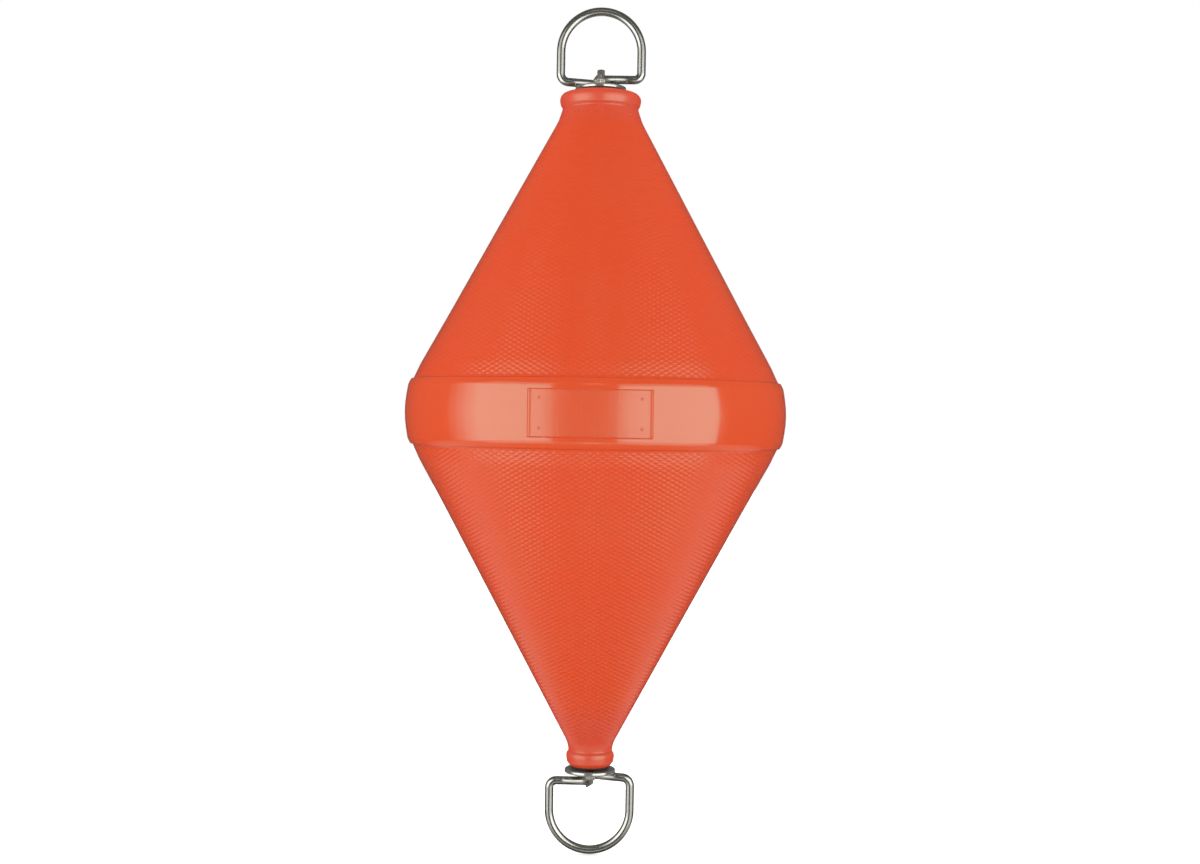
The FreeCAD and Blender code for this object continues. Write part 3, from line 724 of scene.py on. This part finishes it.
weld, _, weld_out = new_look("weld_metal", {})
place = object_place(weld)
x, y, _ = split_up(weld, place)
wander = speckle(weld, place, 260.0, 2.0)
scale_marks = speckle(weld, place, 620.0, 3.0, 0.6)
ropes = reckoned(weld, "SINE", reckoned(
    weld, "ADD", reckoned(weld, "MULTIPLY", reckoned(weld, "ARCTAN2", y, x), 17.0),
    reckoned(weld, "MULTIPLY", wander, 9.0)))
laid = tinted(
    weld, spread(weld, wander, 0.36, 0.64, 0.0, 1.0, True), (0.58, 0.56, 0.50, 1), (0.42, 0.39, 0.34, 1))
node_input(weld, weld_out["Color"], tinted(
    weld, spread(weld, scale_marks, 0.55, 0.75, 0.0, 0.7), laid, (0.17, 0.16, 0.16, 1)))
node_input(weld, weld_out["Roughness"], spread(weld, scale_marks, 0.3, 0.7, 0.24, 0.50))
node_input(weld, weld_out["Normal"], bumped(weld, scale_marks, 0.00012, bumped(weld, ropes, 0.00016)))

weld_steel, tree, shader = new_finish("weld_steel")
shader["Metallic"].default_value = 0.85
laid_on(tree, shader, weld)


def weld_bead(foot, height, side):
    """A lumpy collar of weld metal from a washer's face along the rod, on the given side of the float."""
    bm = turned_ring([
        (rod_r - weld_inset, 0, 0), (rod_r + foot, 0, 0.0006), (rod_r + foot, weld_shoulder, 0.0022),
        (rod_r + 0.0004, height, 0.0006), (rod_r - weld_inset, height, 0)], 64)
    bmesh.ops.subdivide_edges(bm, edges=bm.edges[:], cuts=1, use_grid_fill=True)
    for vert in bm.verts:
        out = vert.co.xy.length
        if out > rod_r:
            swell = 0.10 * noise.noise(vert.co * 420) + 0.05 * noise.noise(vert.co * 1100)
            lack = 0.55 * smooth_step(0.5 + 0.5 * side * vert.co.x / out)
            vert.co.xy *= (rod_r + (out - rod_r) * (1 - lack)) / out * (1 + swell)
    bmesh.ops.scale(bm, vec=(1, 1, side), verts=bm.verts[:])
    return bm


for node, seat, side, foot, height in (
        ("upper_weld", upper_seat, 1, 0.0044, 0.0127), ("lower_weld", lower_seat, -1, 0.0026, 0.0083)):
    bead = weld_bead(foot, height, side)
    bmesh.ops.translate(bead, vec=(0, 0, seat), verts=bead.verts[:])
    piece(f"{node}_bead", bead, weld_steel, "mooring_rod", node)


# ------------------------------------------------------------------ floor
# A plain pale floor just under the lower ring. It is filled up to white for the camera and keeps the
# shadow, and it is open to reflections and to a look from below.
bm = bmesh.new()
bmesh.ops.create_circle(
    bm, cap_ends=True, radius=9.0, segments=96, matrix=Matrix.Translation((0, 0, cad_low.z - 0.0005)))
floor_mesh = bpy.data.meshes.new("floor")
bm.to_mesh(floor_mesh)
bm.free()
floor = bpy.data.objects.new("floor", floor_mesh)
scene.collection.objects.link(floor)

floor_white, tree, shader = new_finish("floor_white")
path = tree.nodes.new("ShaderNodeLightPath").outputs
shader["Base Color"].default_value = (0.8, 0.8, 0.8, 1)
shader["Roughness"].default_value = 0.8
shader["Specular IOR Level"].default_value = 0.0
shader["Emission Color"].default_value = (1, 1, 1, 1)
node_input(tree, shader["Emission Strength"], reckoned(tree, "MULTIPLY", path["Is Camera Ray"], 0.45))
open_ways = reckoned(
    tree, "MAXIMUM", path["Is Glossy Ray"], tree.nodes.new("ShaderNodeNewGeometry").outputs["Backfacing"])
either = tree.nodes.new("ShaderNodeMixShader")
node_input(tree, either.inputs[0], open_ways)
node_input(tree, either.inputs[1], tree.nodes["Principled BSDF"].outputs[0])
node_input(tree, either.inputs[2], tree.nodes.new("ShaderNodeBsdfTransparent").outputs[0])
node_input(tree, tree.nodes["Material Output"].inputs["Surface"], either.outputs[0])
floor_mesh.materials.append(floor_white)


# ------------------------------------------------------------------ studio light
# Two tall softboxes stand in front, left and right, each with a brighter middle, and the left one fades
# out round the side. The sweep behind is white, and it is darker overhead and on the camera's side.
def softbox(name, round_by, away, width, height, light, shine):
    """A plain rectangular lamp facing the buoy. Light is its level on surfaces, and shine in reflections."""
    for part, level in (("light", light), ("shine", shine)):
        if not level:
            continue
        lamp = bpy.data.lights.new(f"{name}_{part}", "AREA")
        lamp.shape = "RECTANGLE"
        lamp.size = width
        lamp.size_y = height
        lamp.energy = level * math.pi * width * height
        obj = bpy.data.objects.new(lamp.name, lamp)
        azimuth = math.radians(round_by)
        apart = away + 0.03 * (part == "light")
        obj.location = (apart * math.sin(azimuth), -apart * math.cos(azimuth), 0)
        obj.rotation_euler = obj.location.to_track_quat("Z", "Y").to_euler()
        obj.visible_diffuse = part == "light"
        obj.visible_glossy = part == "shine"
        scene.collection.objects.link(obj)


softbox("left_softbox", -47.2, 1.6, 1.38, 2.60, 0.78, 1.1)
softbox("left_middle", -47.2, 1.55, 1.33, 1.26, 0, 1.5)
for step, level in enumerate((2.0, 1.5, 1.0, 0.6, 0.3)):
    softbox(f"left_fade_{step}", -72.5 - 4 * step, 1.6, 0.112, 1.60, 0.24, level)
softbox("right_softbox", 45.2, 1.6, 1.86, 2.60, 0.58, 1.1)
softbox("right_middle", 45.2, 1.55, 1.80, 1.26, 0, 1.5)

world = bpy.data.worlds.new("studio")
scene.world = world
world.use_nodes = True
sky = world.node_tree
path = sky.nodes.new("ShaderNodeLightPath").outputs
side, back, up = split_up(sky, sky.nodes.new("ShaderNodeTexCoord").outputs["Generated"])
light_level = spread(sky, back, -0.8, 0.8, 0.71, 2.05, True)

# reflections: a pale zone low down, and a short strip in the middle both above and below
shine_level = reckoned(
    sky, "MULTIPLY", spread(sky, up, -0.90, -0.6, 0.05, 0.50, True), spread(sky, up, -0.55, -0.35, 1.0, 0.13, True))
steep = reckoned(sky, "ABSOLUTE", up)
strip = reckoned(
    sky, "MULTIPLY", spread(sky, steep, 0.42, 0.52, 0.0, 0.85, True), spread(sky, steep, 0.62, 0.72, 1.0, 0.0, True))
strip = reckoned(
    sky, "MULTIPLY", strip, spread(sky, reckoned(sky, "ABSOLUTE", side), 0.05, 0.15, 1.0, 0.0, True))
shine_level = reckoned(sky, "ADD", shine_level, strip)

level = light_level
for ray, seen in (("Is Glossy Ray", shine_level), ("Is Transmission Ray", 1.0), ("Is Camera Ray", 1.0)):
    choice = sky.nodes.new("ShaderNodeMix")
    node_input(sky, choice.inputs["Factor"], path[ray])
    node_input(sky, choice.inputs["A"], level)
    node_input(sky, choice.inputs["B"], seen)
    level = choice.outputs["Result"]
node_input(sky, sky.nodes["Background"].inputs["Strength"], level)
node_input(sky, sky.nodes["Background"].inputs["Color"], (1, 1, 1, 1))
